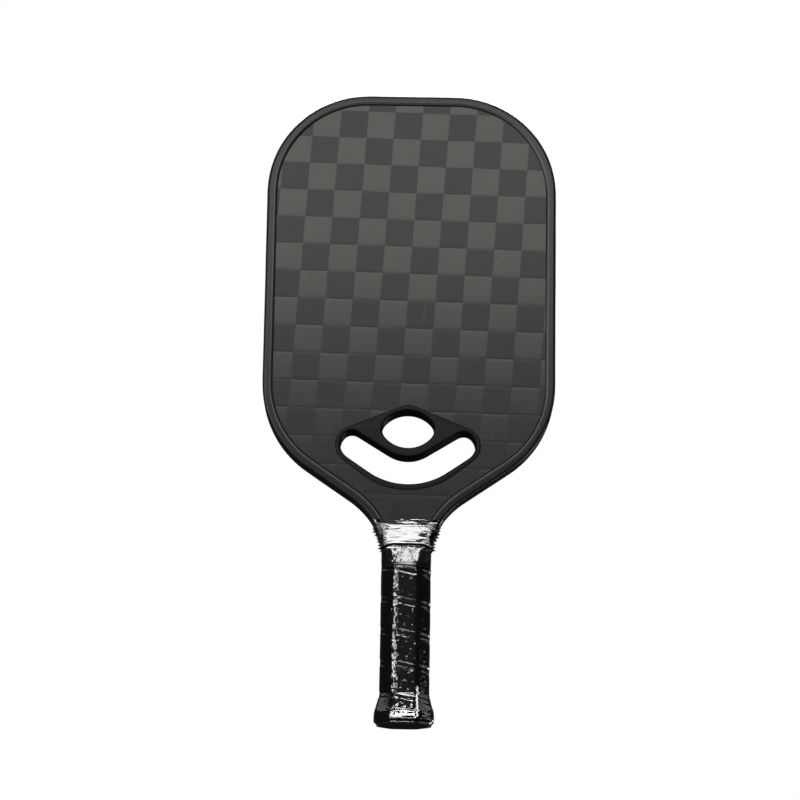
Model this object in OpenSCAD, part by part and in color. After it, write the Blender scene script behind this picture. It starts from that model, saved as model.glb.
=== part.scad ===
// Pickleball paddle with a woven carbon face, an open throat and a film-wrapped handle.
// Frame: X across the blade, front face toward -Y, Z up from the butt end to the head tip.
// The origin is the centre of the flat end of the butt cap. All sizes are millimetres.

/* [Blade outline] */
// overall length from the butt end to the head tip
paddle_l = 419.1; // [385:0.1:419.1]
// overall width across the edge guard
paddle_w = 190.5; // [180:0.5:203.2]
// radius of the two head corners
corner_r = 67; // [50:0.5:80]
// height where the straight flanks end and the shoulders begin
flank_z = 222; // [210:0.5:240]
// radius of the two lower shoulders
shoulder_r = 67.5; // [55:0.5:80]
// slope of the shoulder lines below level, in degrees
shoulder_a = 34.4; // [30:0.1:40]
// radius of the hollow fillets that run into the neck
neck_r = 53; // [40:1:70]
// width of the neck across the edge guard where the fillets end
neck_w = 27.8; // [26.5:0.1:28]

/* [Blade layers] */
// thickness of the honeycomb core
core_t = 14.4; // [11:0.1:16]
// thickness of each backing ply
backing_t = 0.3; // [0.2:0.05:0.5]
// thickness of each woven carbon ply
carbon_t = 0.5; // [0.3:0.05:0.7]
// spacing of the honeycomb cells across their flats
cell_pitch = 10; // [8:0.5:14]
// thickness of the honeycomb cell walls
cell_wall = 0.5; // [0.4:0.1:1.2]

/* [Edge guard] */
// depth of the guard across both lips
guard_t = 18.8; // [17.5:0.1:20]
// width of each lip from the outer edge of the guard
lip_w = 6.6; // [5:0.1:8]
// thickness of the guard wall outside the blade rim
guard_wall = 1.4; // [1:0.1:1.8]
// radius of the rounded outer edges of the guard
nose_r = 2; // [1.5:0.1:4]
// thickness of the tape between guard and blade rim
tape_t = 0.15; // [0.1:0.05:0.3]
// height above the butt end where the guard is cut off in the neck
guard_end_z = 115; // [114:0.5:125]

/* [Throat windows] */
// height of the centre of the oval window
oval_z = 192.1; // [190:0.1:196]
// half width of the oval window
oval_a = 17; // [14:0.1:18]
// half height of the oval window
oval_b = 12.2; // [11:0.1:12.4]
// radius of the ends of the oval window
oval_end_r = 8.5; // [7:0.1:9.5]
// sideways distance of the slot lobes from the middle
lobe_x = 33.9; // [33:0.1:35]
// height of the slot lobes
lobe_z = 181.7; // [180:0.1:183]
// large radius of the slot lobes
lobe_r = 10; // [9:0.1:10.2]
// small radius at the upper inner side of the slot lobes
lobe_small_r = 6.6; // [6:0.1:7.5]
// height of the lowest point of the slot
slot_z = 155.9; // [155:0.1:158]
// radius of the bottom edge of the slot
slot_r = 45; // [40:1:50]
// height of the lowest point of the web between window and slot
web_z = 173.6; // [172:0.1:175]
// radius of the lower edge of that web
web_r = 23.6; // [20:0.1:28]

/* [Throat bezels] */
// half spacing of the bezel lobes
bezel_x = 34.7; // [34:0.1:36]
// height of the bezel lobes
bezel_z = 181.5; // [181:0.1:182]
// radius of the bezel lobes
bezel_r = 12.5; // [12.3:0.1:13]
// height of the top of the bezel
bezel_top_z = 208.1; // [208:0.1:210]
// height of the bottom of the bezel
bezel_low_z = 151.9; // [150:0.1:152]
// overlap of the bezel flange on the carbon face
flange_over = 1.8; // [1.5:0.1:2]
// height of the bezel flange above the carbon face
flange_up = 0.8; // [0.5:0.1:1.2]
// thickness of the bezel front plate
plate_t = 2; // [1.5:0.1:3]
// thickness of the bezel walls that line the openings
lining_t = 1.1; // [0.8:0.1:1.2]

/* [Handle] */
// width of the handle shells under the grip
handle_w = 27.6; // [27.2:0.1:30]
// depth of the handle shells under the grip
handle_d = 26; // [25:0.1:28]
// width of the corner facets of the handle shells
facet_c = 6.8; // [5:0.1:8]
// height where the sloped top of the handle begins
ramp_z = 102.5; // [98:0.5:104]
// height of the upper end of the handle shells
handle_top_z = 112.6; // [110:0.1:113]
// height above the butt end where the tongue of the blade stops
tongue_z = 6; // [4:0.5:12]
// width of the tongue inside the handle shells
tongue_w = 20; // [16:0.1:20.2]

/* [Butt cap] */
// height where the flare of the butt begins
flare_top_z = 19.5; // [16:0.5:24]
// height where the flare reaches its full width
flare_low_z = 8; // [5:0.5:12]
// how far the flare stands out on each side
flare_out = 3.1; // [2:0.1:5]
// bevel of the lower rim of the butt cap
rim_bevel = 1.6; // [1:0.1:3]
// thickness of the closed end of the butt cap
cap_floor = 2.4; // [1.5:0.1:4]
// thickness of the sleeve of the butt cap at its top
cap_wall = 1.2; // [1:0.05:1.3]

/* [Grip and film] */
// thickness of the wound grip
grip_t = 1.8; // [1.2:0.1:2.4]
// height of the lower edge of the grip above the butt end
grip_low_z = 1.2; // [1:0.1:4]
// height of the upper edge of the grip
grip_top_z = 113.4; // [112.8:0.1:114]
// thickness of the finishing tape
finish_t = 0.25; // [0.15:0.05:0.4]
// width of the finishing tape band
finish_w = 12.4; // [8:0.1:20]
// thickness of the clear film
film_t = 0.15; // [0.1:0.05:0.3]
// height of the upper edge of the clear film
film_top_z = 132.6; // [125:0.1:140]

/* [Staples] */
// thickness of the staple wire
wire_d = 0.7; // [0.5:0.1:1]
// length of the staple back
staple_w = 9; // [6:0.5:12]

/* [Hidden] */
eps = 0.05;
// total thickness of the blade laminate
blade_t = core_t + 2 * (backing_t + carbon_t);
// half width of the paddle
half_w = paddle_w / 2;
// centre of the right head corner
corner_c = [half_w - corner_r, paddle_l - corner_r];
// centre of the right shoulder
shoulder_c = [half_w - shoulder_r, flank_z];
// outward direction of the shoulder line
out_n = [sin(shoulder_a), -cos(shoulder_a)];
// end of the shoulder arc
line_top = shoulder_c + shoulder_r * out_n;
// start of the neck fillet
line_low_x = neck_w / 2 + neck_r - neck_r * out_n.x;
line_low = [line_low_x, line_top.y + (line_low_x - line_top.x) * tan(shoulder_a)];
// centre of the neck fillet
neck_c = line_low + neck_r * out_n;
// angle at which the guard is cut off on the neck fillet
guard_end_a = 180 - asin((guard_end_z - neck_c.y) / neck_r);
// distance from the guard outline to the blade rim
rim_in = guard_wall + tape_t;
// circles that shape the bezel outline, each one x, z, radius
bezel_right = [bezel_x, bezel_z, bezel_r];
bezel_left = [-bezel_x, bezel_z, bezel_r];
bezel_top = [0, bezel_top_z - bezel_r, bezel_r];
bezel_low_r = slot_r + slot_z - bezel_low_z;
bezel_low = [0, bezel_low_z + bezel_low_r, bezel_low_r];
// large radius of the oval window and the sideways place where its arcs meet
oval_side_r = ((oval_a - oval_end_r) ^ 2 + oval_b ^ 2 - oval_end_r ^ 2) / (2 * (oval_b - oval_end_r));
oval_meet = (oval_a - oval_end_r) / (oval_side_r - oval_end_r);

// turn a drawing in X and Z into a plate from y = 0 toward the rear
module plate(t) {
  rotate([90, 0, 0])
    mirror([0, 0, 1])
      linear_extrude(t)
        children();
}

// the same plate, centred on the middle plane of the blade
module middle_plate(t) {
  rotate([90, 0, 0])
    linear_extrude(t, center = true)
      children();
}

// round disc in the X and Z drawing plane
module disc(c, r, n = 144) {
  translate([c.x, c.y])
    circle(r, $fn = n);
}

// outward direction of the line that touches circle a and then circle b on the same side
function touch_dir(a, b) =
  let (d = [b.x - a.x, b.y - a.y])
  atan2(d.y, d.x) - acos((a.z - b.z) / norm(d));

// point of a circle in a given direction
function rim_point(c, ang, e = 0) =
  [c.x + (c.z + e) * cos(ang), c.y + (c.z + e) * sin(ang)];

// the closed belt laid round a set of circles, grown by e
module belt(cs, e = 0) {
  n = len(cs);
  polygon([for (i = [0 : n - 1])
    let (a = cs[i], b = cs[(i + 1) % n], t = touch_dir(a, b))
      each [rim_point(a, t, e), rim_point(b, t, e)]]);
  for (c = cs)
    disc([c.x, c.y], c.z + e);
}

// half plane above or below a height, wide enough for the throat
module above(z) {
  translate([-100, z])
    square([200, 400]);
}
module below(z) {
  translate([-100, z - 100])
    square([200, 100]);
}

// points of an arc about c, from angle a0 to angle a1
function arc_points(c, r, a0, a1, n = 30) =
  [for (i = [0 : n]) c + r * [cos(a0 + (a1 - a0) * i / n), sin(a0 + (a1 - a0) * i / n)]];

// right half of the blade outline from the head tip down to height z0 in the neck,
// shrunk by e from the outside of the edge guard
function half_outline(e, z0) = concat(
  arc_points(corner_c, corner_r - e, 90, 0),
  arc_points(shoulder_c, shoulder_r - e, 0, shoulder_a - 90),
  arc_points(neck_c, neck_r + e, 90 + shoulder_a, 180 - asin((z0 - neck_c.y) / (neck_r + e))));

// closed shape from the points of its right half
module both_halves(half) {
  polygon(concat(half, [for (i = [len(half) - 1 : -1 : 0]) [-half[i].x, half[i].y]]));
}

// bezel outline grown by e
module eye(e) {
  intersection() {
    belt([bezel_left, bezel_low, bezel_right], e);
    below(bezel_z);
  }
  intersection() {
    belt([bezel_left, bezel_right, bezel_top], e);
    above(bezel_z);
  }
}

// oval window grown by e
module oval(e) {
  intersection() {
    disc([0, oval_z + oval_side_r - oval_b], oval_side_r + e);
    disc([0, oval_z - oval_side_r + oval_b], oval_side_r + e);
    translate([0, oval_z])
      square([2 * (oval_side_r + e) * oval_meet, 4 * oval_b], center = true);
  }
  for (s = [-1, 1])
    disc([s * (oval_a - oval_end_r), oval_z], oval_end_r + e);
}

// smile-shaped slot grown by e
module slot(e) {
  shift = (lobe_r - lobe_small_r) * cos(45);
  small = [lobe_x + shift, lobe_z + shift, lobe_small_r + e];
  web = [0, web_z + web_r, web_r - e];
  // direction of the line that touches the web from below and the lobe from above
  d = [small.x - web.x, small.y - web.y];
  t = atan2(d.y, d.x) - acos((web.z + small.z) / norm(d));
  web_pt = rim_point(web, t);
  lobe_pt = rim_point(small, t + 180);
  side = [[lobe_pt.x, small.y + 30], lobe_pt, web_pt];
  difference() {
    union() {
      intersection() {
        belt([[-lobe_x, lobe_z, lobe_r], [0, slot_z + slot_r, slot_r], [lobe_x, lobe_z, lobe_r]], e);
        below(lobe_z);
      }
      polygon([[-small.x, lobe_z - 1], [small.x, lobe_z - 1], [small.x, small.y],
        [-small.x, small.y]]);
      polygon([[-small.x, small.y - 1], [small.x, small.y - 1], lobe_pt, [-lobe_pt.x, lobe_pt.y]]);
    }
    polygon(concat(side, [for (i = [len(side) - 1 : -1 : 0]) [-side[i].x, side[i].y]]));
    disc([web.x, web.y], web.z);
  }
  for (s = [-1, 1]) {
    intersection() {
      disc([s * lobe_x, lobe_z], lobe_r + e);
      polygon([[s * lobe_x, lobe_z - 1], [s * (lobe_x + 20), lobe_z - 1],
        [s * (lobe_x + 20), lobe_z + 20]]);
    }
    disc([s * small.x, small.y], small.z);
  }
}

// both throat openings grown by e
module windows(e) {
  oval(e);
  slot(e);
}

// outline of the blade sandwich: head, neck, tongue and throat opening
module blade_shape() {
  step_z = handle_top_z + 0.3;
  difference() {
    both_halves(concat(half_outline(rim_in, step_z),
      [[tongue_w / 2, step_z], [tongue_w / 2, tongue_z]]));
    eye(-flange_over + eps);
  }
}

// one layer of the blade between two distances from the middle plane
module layer(y0, t) {
  translate([0, y0, 0])
    plate(t)
      blade_shape();
}

// true when a honeycomb cell at p stays inside the blade with a border of m
function in_blade(p, m) =
  let (x = abs(p.x), z = p.y)
  x < half_w - m
  && z < paddle_l - m
  && (x < corner_c.x || z < corner_c.y || norm([x, z] - corner_c) < corner_r - m)
  && (x < shoulder_c.x || z > shoulder_c.y || norm([x, z] - shoulder_c) < shoulder_r - m)
  && (z > line_top.y || ([x, z] - line_top) * out_n < -m)
  && (z > line_low.y || norm([x, z] - neck_c) > neck_r + m || z < neck_c.y)
  && (z > handle_top_z + m || x < tongue_w / 2 + rim_in - m)
  && z > tongue_z + m;

// true when a honeycomb cell at p stays clear of the throat opening by m
function off_throat(p, m) =
  let (x = abs(p.x), z = p.y,
    up = touch_dir(bezel_right, bezel_top), un = [cos(up), sin(up)],
    lo = touch_dir(bezel_low, bezel_right), ln = [cos(lo), sin(lo)])
  x > bezel_x + bezel_r + m
  || z > bezel_top_z + m
  || z < bezel_low_z - m
  || ([x, z] - [bezel_x, bezel_z]) * un > bezel_r + m
  || ([x, z] - [bezel_x, bezel_z]) * ln > bezel_r + m;

module honeycomb_core() {
  row = cell_pitch * sqrt(3) / 2;
  cell_r = (cell_pitch - cell_wall) / sqrt(3);
  border = rim_in + 1 + cell_r;
  color([0.88, 0.89, 0.86])
    middle_plate(core_t)
      difference() {
        blade_shape();
        for (j = [0 : floor(paddle_l / row)])
          for (i = [-12 : 12]) {
            p = [(i + (j % 2) / 2) * cell_pitch, j * row];
            if (in_blade(p, border) && off_throat(p, 1 + cell_r - flange_over))
              translate([p.x, p.y])
                rotate(30)
                  circle(cell_r, $fn = 6);
          }
      }
}

module front_backing_ply() {
  color([0.80, 0.82, 0.70])
    layer(-core_t / 2 - backing_t, backing_t);
}

module rear_backing_ply() {
  color([0.80, 0.82, 0.70])
    layer(core_t / 2, backing_t);
}

module front_carbon_ply() {
  color([0.24, 0.24, 0.24])
    layer(-blade_t / 2, carbon_t);
}

module rear_carbon_ply() {
  color([0.24, 0.24, 0.24])
    layer(blade_t / 2 - carbon_t, carbon_t);
}

// cross section of the guard, outer edge at x = 0 and inside toward -x, thickened by g
module guard_section(g = 0) {
  lip_t = (guard_t - blade_t) / 2 - eps;
  bevel = 0.7 * lip_t;
  deep = guard_t / 2 + g;
  difference() {
    union() {
      translate([-lip_w - g, -deep])
        square([lip_w + g - nose_r, 2 * deep]);
      translate([-lip_w - g, nose_r - deep])
        square([lip_w + 2 * g, 2 * (deep - nose_r)]);
      for (s = [-1, 1])
        translate([g - nose_r, s * (deep - nose_r)])
          circle(nose_r, $fn = 48);
    }
    translate([-lip_w - 1, g - blade_t / 2 - eps])
      square([lip_w + 1 - guard_wall - g, blade_t + 2 * eps - 2 * g]);
    for (s = [-1, 1])
      polygon([[-lip_w - g - 1, s * (deep + 1)], [-lip_w - g + bevel + 1, s * (deep + 1)],
        [-lip_w - g - 1, s * (deep - bevel - 1)]]);
  }
}

// cross section of the tape on the blade rim, thickened by g
module tape_section(g = 0) {
  translate([0.03 - rim_in - g, 0.4 - blade_t / 2 - g])
    square([tape_t - 0.06 + 2 * g, blade_t - 0.8 + 2 * g]);
}

// run the child section round an arc in the plane of the blade
module arc_run(c, r, a0, a1, n = 288) {
  translate([c.x, 0, c.y])
    rotate([90, 0, 0])
      rotate_extrude(angle = a1 - a0, start = a0, $fn = n)
        translate([r, 0])
          children();
}

// run a section all the way round the rim: child 0 on most of it, the slightly thicker
// child 1 on the sloped lines, where it laps into both neighbours
module rim_run(end_a) {
  lap = 0.4;
  translate([-corner_c.x, 0, paddle_l])
    rotate([0, -90, 180])
      linear_extrude(2 * corner_c.x)
        children(0);
  for (s = [0, 1])
    mirror([s, 0, 0]) {
      arc_run(corner_c, corner_r, 0, 90)
        children(0);
      translate([half_w, 0, flank_z])
        linear_extrude(corner_c.y - flank_z)
          children(0);
      arc_run(shoulder_c, shoulder_r, shoulder_a - 90, 0)
        children(0);
      translate([line_low.x, 0, line_low.y])
        rotate([0, 90 - shoulder_a, 0])
          translate([0, 0, -lap])
            linear_extrude(norm(line_top - line_low) + 2 * lap)
              children(1);
      arc_run(neck_c, neck_r, 90 + shoulder_a, end_a)
        mirror([1, 0])
          children(0);
    }
}

module edge_guard_tape() {
  color([0.93, 0.93, 0.90])
    rim_run(guard_end_a) {
      tape_section();
      tape_section(0.01);
    }
}

module edge_guard() {
  color([0.10, 0.10, 0.11])
    rim_run(guard_end_a) {
      guard_section();
      guard_section(0.02);
    }
}

// front half of the throat bezel; the rear half is its mirror image
module throat_bezel() {
  face_y = blade_t / 2;
  translate([0, -face_y - flange_up, 0])
    plate(flange_up - eps)
      difference() {
        eye(0);
        windows(0);
      }
  translate([0, -face_y - 2 * eps, 0])
    plate(plate_t)
      difference() {
        eye(-flange_over);
        windows(0);
      }
  translate([0, -face_y, 0])
    plate(face_y)
      difference() {
        union() {
          difference() {
            eye(-flange_over);
            eye(-flange_over - lining_t);
          }
          intersection() {
            eye(-flange_over);
            windows(lining_t);
          }
        }
        windows(0);
      }
}

module front_throat_bezel() {
  color([0.12, 0.12, 0.13])
    throat_bezel();
}

module rear_throat_bezel() {
  color([0.12, 0.12, 0.13])
    mirror([0, 1, 0])
      throat_bezel();
}

// eight-sided column of width w and depth d with corner facets c
module octagon(w, d, c) {
  polygon([
    [w / 2, d / 2 - c], [w / 2 - c, d / 2], [c - w / 2, d / 2], [-w / 2, d / 2 - c],
    [-w / 2, c - d / 2], [c - w / 2, -d / 2], [w / 2 - c, -d / 2], [w / 2, c - d / 2]]);
}

// wedge that slopes the front and the rear of the handle, grown outward by e
module slope_profile(e, top) {
  y0 = handle_d / 2 + e;
  y1 = blade_t / 2 + 0.4 + e;
  polygon([[-y0, -1], [-y0, ramp_z], [-y1, top], [y1, top], [y0, ramp_z], [y0, -1]]);
}

// handle body grown by e between two heights, with its sloped top
module handle_body(e, z0, z1) {
  intersection() {
    translate([0, 0, z0])
      linear_extrude(z1 - z0)
        octagon(handle_w + 2 * e, handle_d + 2 * e, facet_c + (2 - sqrt(2)) * e);
    rotate([90, 0, 90])
      linear_extrude(60, center = true)
        slope_profile(e, z1);
  }
}

// profile of the flared butt: half size s at the neck of the flare, grown by e
module flare_profile(s, e, low) {
  a = s + e;
  b = s + e + flare_out;
  polygon([[a, flare_top_z], [b, flare_low_z], [b, rim_bevel + low], [b - rim_bevel, low],
    [rim_bevel - b, low], [-b, rim_bevel + low], [-b, flare_low_z], [-a, flare_top_z]]);
}

// solid flared butt grown by e, starting at height low
module flare_body(e, low) {
  diagonal = (handle_w / 2 + handle_d / 2 - facet_c) / sqrt(2);
  intersection() {
    rotate([90, 0, 0])
      linear_extrude(80, center = true)
        flare_profile(handle_w / 2, e, low);
    rotate([90, 0, 90])
      linear_extrude(80, center = true)
        flare_profile(handle_d / 2, e, low);
    rotate([90, 0, 45])
      linear_extrude(80, center = true)
        flare_profile(diagonal, e, low);
    rotate([90, 0, 135])
      linear_extrude(80, center = true)
        flare_profile(diagonal, e, low);
  }
}

// one wire staple, its back along X and its legs toward +Y
module staple(w, l, e = 0) {
  translate([-w / 2 - e, -e, -wire_d / 2 - e])
    cube([w + 2 * e, wire_d + 2 * e, wire_d + 2 * e]);
  for (s = [-1, 1])
    translate([s * (w - wire_d) / 2, 0, 0])
      rotate([-90, 0, 0])
        cylinder(h = l, d = wire_d + 2 * e, $fn = 24);
}

// the two staples that hold the butt cap, front and rear
module cap_staples(e = 0) {
  y = handle_d / 2 + flare_out;
  for (s = [0, 1])
    mirror([0, s, 0])
      translate([0, -y, flare_low_z / 2 + 0.6])
        staple(staple_w, y - blade_t / 2 - 0.6, e);
}

// the staple that pins the first turn of the grip to the rear handle shell
module grip_pin(e = 0) {
  y = handle_d / 2 + wire_d;
  mirror([0, 1, 0])
    translate([0, -y, flare_top_z + 5])
      staple(0.7 * staple_w, y - blade_t / 2 - 0.6, e);
}

// pocket that takes the tongue of the blade
module tongue_room() {
  translate([-tongue_w / 2 - eps, -blade_t / 2 - eps, tongue_z - 0.3])
    cube([tongue_w + 2 * eps, blade_t + 2 * eps, handle_top_z]);
}

// front handle shell; the rear one is its mirror image
module handle_shell() {
  spigot = cap_wall + eps;
  difference() {
    union() {
      handle_body(0, flare_top_z + eps, handle_top_z);
      translate([0, 0, cap_floor + eps])
        linear_extrude(flare_top_z)
          octagon(handle_w - 2 * spigot, handle_d - 2 * spigot, facet_c - (2 - sqrt(2)) * spigot);
    }
    translate([-50, -eps / 2, -1])
      cube([100, 50, 200]);
    tongue_room();
    translate([-50, -blade_t / 2 - eps, tongue_z - 0.3])
      cube([100, blade_t, flare_top_z - tongue_z + 0.3 + eps]);
    cap_staples(eps);
  }
}

module front_handle_shell() {
  color([0.62, 0.58, 0.48])
    handle_shell();
}

module rear_handle_shell() {
  color([0.62, 0.58, 0.48])
    difference() {
      mirror([0, 1, 0])
        handle_shell();
      grip_pin(eps);
    }
}

module butt_cap() {
  color([0.13, 0.13, 0.14])
    difference() {
      flare_body(0, 0);
      translate([0, 0, cap_floor])
        linear_extrude(flare_top_z)
          octagon(handle_w - 2 * cap_wall, handle_d - 2 * cap_wall,
            facet_c - (2 - sqrt(2)) * cap_wall);
      cap_staples(eps);
    }
}

module butt_cap_staples() {
  color([0.72, 0.73, 0.74])
    cap_staples();
}

module grip_staple() {
  color([0.72, 0.73, 0.74])
    grip_pin();
}

// outer shape of everything wound round the handle, grown by e
module wound(e, low, top) {
  flare_body(e, low);
  handle_body(e, flare_top_z - 0.01, top);
}

module grip_wrap() {
  color([0.09, 0.09, 0.09])
    difference() {
      wound(grip_t, grip_low_z, grip_top_z);
      wound(eps, -1, grip_top_z + 1);
      grip_pin(eps);
    }
}

module grip_finishing_tape() {
  color([0.07, 0.07, 0.08])
    intersection() {
      difference() {
        handle_body(grip_t + eps + finish_t, flare_top_z, grip_top_z);
        handle_body(grip_t + eps, flare_top_z - 1, grip_top_z);
      }
      translate([-50, -50, grip_top_z - finish_w])
        cube([100, 100, finish_w]);
    }
}

// neck of the paddle over the guard, grown by e, up to height top
module neck_block(e, top) {
  middle_plate(guard_t + 2 * e)
    intersection() {
      both_halves(half_outline(-e, grip_top_z - 2));
      below(top);
    }
}

module clear_film() {
  inner = grip_t + finish_t + 2 * eps;
  outer = inner + film_t;
  low = 0.35;
  color([0.85, 0.90, 0.95, 0.35])
    difference() {
      union() {
        wound(outer, low, grip_top_z + eps + film_t);
        neck_block(2 * eps + film_t, film_top_z);
      }
      wound(inner, low + film_t, grip_top_z + eps);
      neck_block(2 * eps, film_top_z + 1);
      flare_body(2 * eps, -1);
    }
}

honeycomb_core();
front_backing_ply();
rear_backing_ply();
front_carbon_ply();
rear_carbon_ply();
edge_guard_tape();
edge_guard();
front_throat_bezel();
rear_throat_bezel();
front_handle_shell();
rear_handle_shell();
butt_cap();
butt_cap_staples();
grip_staple();
grip_wrap();
grip_finishing_tape();
clear_film();
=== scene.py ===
import math

import bmesh
import bpy
import numpy as np
from mathutils import Matrix
from mathutils import Vector
from mathutils.bvhtree import BVHTree
from mathutils.geometry import delaunay_2d_cdt

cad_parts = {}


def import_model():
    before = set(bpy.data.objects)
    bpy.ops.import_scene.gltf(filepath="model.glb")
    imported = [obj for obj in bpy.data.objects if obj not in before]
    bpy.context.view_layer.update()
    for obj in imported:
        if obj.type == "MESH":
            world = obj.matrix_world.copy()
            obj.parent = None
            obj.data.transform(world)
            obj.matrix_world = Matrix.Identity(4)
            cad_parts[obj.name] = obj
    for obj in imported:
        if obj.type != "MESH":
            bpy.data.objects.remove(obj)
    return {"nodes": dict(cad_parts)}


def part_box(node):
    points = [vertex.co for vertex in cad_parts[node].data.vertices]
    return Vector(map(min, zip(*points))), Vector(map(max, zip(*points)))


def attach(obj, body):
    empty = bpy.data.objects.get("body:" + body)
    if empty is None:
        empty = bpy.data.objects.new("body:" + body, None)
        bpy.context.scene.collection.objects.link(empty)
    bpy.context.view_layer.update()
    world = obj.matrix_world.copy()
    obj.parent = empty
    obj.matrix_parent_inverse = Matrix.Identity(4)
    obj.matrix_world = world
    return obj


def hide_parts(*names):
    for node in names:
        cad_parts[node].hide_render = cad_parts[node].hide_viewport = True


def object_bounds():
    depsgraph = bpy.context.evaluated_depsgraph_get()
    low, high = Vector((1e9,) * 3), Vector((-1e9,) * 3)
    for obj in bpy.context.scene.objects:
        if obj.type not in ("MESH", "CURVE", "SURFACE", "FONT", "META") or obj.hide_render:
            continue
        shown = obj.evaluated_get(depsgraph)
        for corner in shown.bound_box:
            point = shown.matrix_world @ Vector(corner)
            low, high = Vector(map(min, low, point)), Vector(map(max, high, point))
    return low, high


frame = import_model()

MM = 0.001
cad_low, cad_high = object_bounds()

# ---------------------------------------------------------------- places taken from the frame

face_y = -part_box("front_carbon_ply")[0].y
ply_half_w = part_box("front_carbon_ply")[1].x
guard_half_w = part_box("edge_guard")[1].x
guard_low_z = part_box("edge_guard")[0].z
bezel_front_y = -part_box("front_throat_bezel")[0].y
grip_low, grip_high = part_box("grip_wrap")
film_low, film_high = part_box("clear_film")
finish_low_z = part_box("grip_finishing_tape")[0].z
paddle_top = cad_high.z

# weave of the carbon faces: two leaning families of flat tows
tow_w = 18.0 * MM
tow_h = 18.5 * MM
tow_x = -1.5 * MM
tow_z = 278.2 * MM
tow_lean = 0.063
tow_drop = 0.020

# spiral of the grip tape, seen from the front it runs down to the right
turn_pitch = 20.65 * MM
turn_z = 14.5 * MM
overlap_w = 3.3 * MM

# clear film: its gap to the grip, and where it leaves the grip and settles on the neck
film_gap = 0.32 * MM
film_edge_z = grip_high.z + 2.4 * MM
film_rest_z = film_high.z - 4.0 * MM
film_lean = 1.9 * MM

# the film's crumpled corner, the flat front and the sloping folds on the neck, and its welded seam
crumple_x = -8.0 * MM
neck_flat_w = 12.0 * MM
neck_flare = 0.22
fold_rise = 0.24
weld_x = 8.3 * MM
weld_low_z = 3.5 * MM
weld_high_z = 24.0 * MM


# ---------------------------------------------------------------- curves

def flat_loops(node, y):
    """Closed borders (x, z) of the flat faces of a CAD node that lie at y, the longest first."""
    mesh = frame["nodes"][node].data
    place = [tuple(round(c, 5) for c in v.co) for v in mesh.vertices]
    steps = set()
    for face in mesh.polygons:
        ring = [place[i] for i in face.vertices]
        flat = all(abs(p[1] - y) < 0.01 * MM for p in ring)
        if flat and len(set(ring)) == len(ring):
            steps.update(zip(ring, ring[1:] + ring[:1]))
    follow = {a: b for a, b in steps if (b, a) not in steps}
    loops = []
    while follow:
        start, here = follow.popitem()
        loop = [start]
        while here != start:
            loop.append(here)
            here = follow.pop(here)
        points = np.array([(p[0], p[2]) for p in loop])
        if signed_area(points) < 0:
            points = points[::-1]
        loops.append(points)
    return sorted(loops, key=lambda p: -abs(signed_area(p)))


def signed_area(p):
    """Area within a closed curve, positive when it runs counter-clockwise."""
    q = np.roll(p, -1, axis=0)
    return 0.5 * np.sum(p[:, 0] * q[:, 1] - q[:, 0] * p[:, 1])


def even_steps(p, step, closed):
    """The same curve with points at even steps."""
    if closed:
        p = np.vstack([p, p[:1]])
    run = np.concatenate([[0], np.cumsum(np.linalg.norm(np.diff(p, axis=0), axis=1))])
    count = max(8, int(round(run[-1] / step)))
    at = np.linspace(0, run[-1], count + 1)
    if closed:
        at = at[:-1]
    return np.column_stack([np.interp(at, run, p[:, k]) for k in range(p.shape[1])])


def eased(p, spread, closed):
    """The curve with its small corners rounded off over spread samples."""
    reach = int(3 * spread) + 1
    weights = np.exp(-0.5 * (np.arange(-reach, reach + 1) / spread) ** 2)
    weights /= weights.sum()
    if closed:
        long = np.vstack([p[-reach:], p, p[:reach]])
    else:
        head = 2 * p[0] - p[reach:0:-1]
        tail = 2 * p[-1] - p[-2:-reach - 2:-1]
        long = np.vstack([head, p, tail])
    return np.column_stack([np.convolve(long[:, k], weights, "valid") for k in range(p.shape[1])])


def outward(p, closed):
    """Unit vectors that point away from the area that a counter-clockwise curve goes round."""
    if closed:
        run = np.roll(p, -1, axis=0) - np.roll(p, 1, axis=0)
    else:
        run = np.gradient(p, axis=0)
    run /= np.linalg.norm(run, axis=1)[:, None]
    return np.column_stack([run[:, 1], -run[:, 0]])


def even_offset(loop, d):
    """A closed curve moved outward by d."""
    return loop + d * outward(loop, True)


def inside(points, loop):
    """True for each point within a closed loop."""
    hit = np.zeros(len(points), bool)
    x, z = points[:, 0], points[:, 1]
    for a, b in zip(loop, np.roll(loop, -1, axis=0)):
        if a[1] == b[1]:
            continue
        crosses = (a[1] > z) != (b[1] > z)
        hit ^= crosses & (x < (b[0] - a[0]) * (z - a[1]) / (b[1] - a[1]) + a[0])
    return hit


def fill(outer, holes, extra=None):
    """Triangles that fill a closed curve round its holes, with extra points inside if given."""
    loops = [outer] + list(holes)
    points = []
    edges = []
    for loop in loops:
        first = len(points)
        points += [Vector(p) for p in loop]
        edges += [(first + i, first + (i + 1) % len(loop)) for i in range(len(loop))]
    if extra is not None:
        points += [Vector(p) for p in extra]
    out = delaunay_2d_cdt(points, edges, [], 1, 1e-7)
    flat = np.array([tuple(v) for v in out[0]])
    tris = np.array(out[2])
    middle = flat[tris].mean(axis=1)
    keep = inside(middle, outer)
    for hole in holes:
        keep &= ~inside(middle, hole)
    return flat, tris[keep]


def noise(u, v, seed, wrap=128):
    """Smooth random height between -1 and 1, repeating along u after wrap."""
    table = np.random.default_rng(seed).uniform(-1, 1, (128, 128))
    i = np.floor(u).astype(int)
    j = np.floor(v).astype(int)
    s = u - i
    t = v - j
    s = s * s * (3 - 2 * s)
    t = t * t * (3 - 2 * t)
    i0, i1 = i % wrap, (i + 1) % wrap
    j0, j1 = j % 128, (j + 1) % 128
    low = table[i0, j0] * (1 - s) + table[i1, j0] * s
    high = table[i0, j1] * (1 - s) + table[i1, j1] * s
    return low * (1 - t) + high * t


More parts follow.
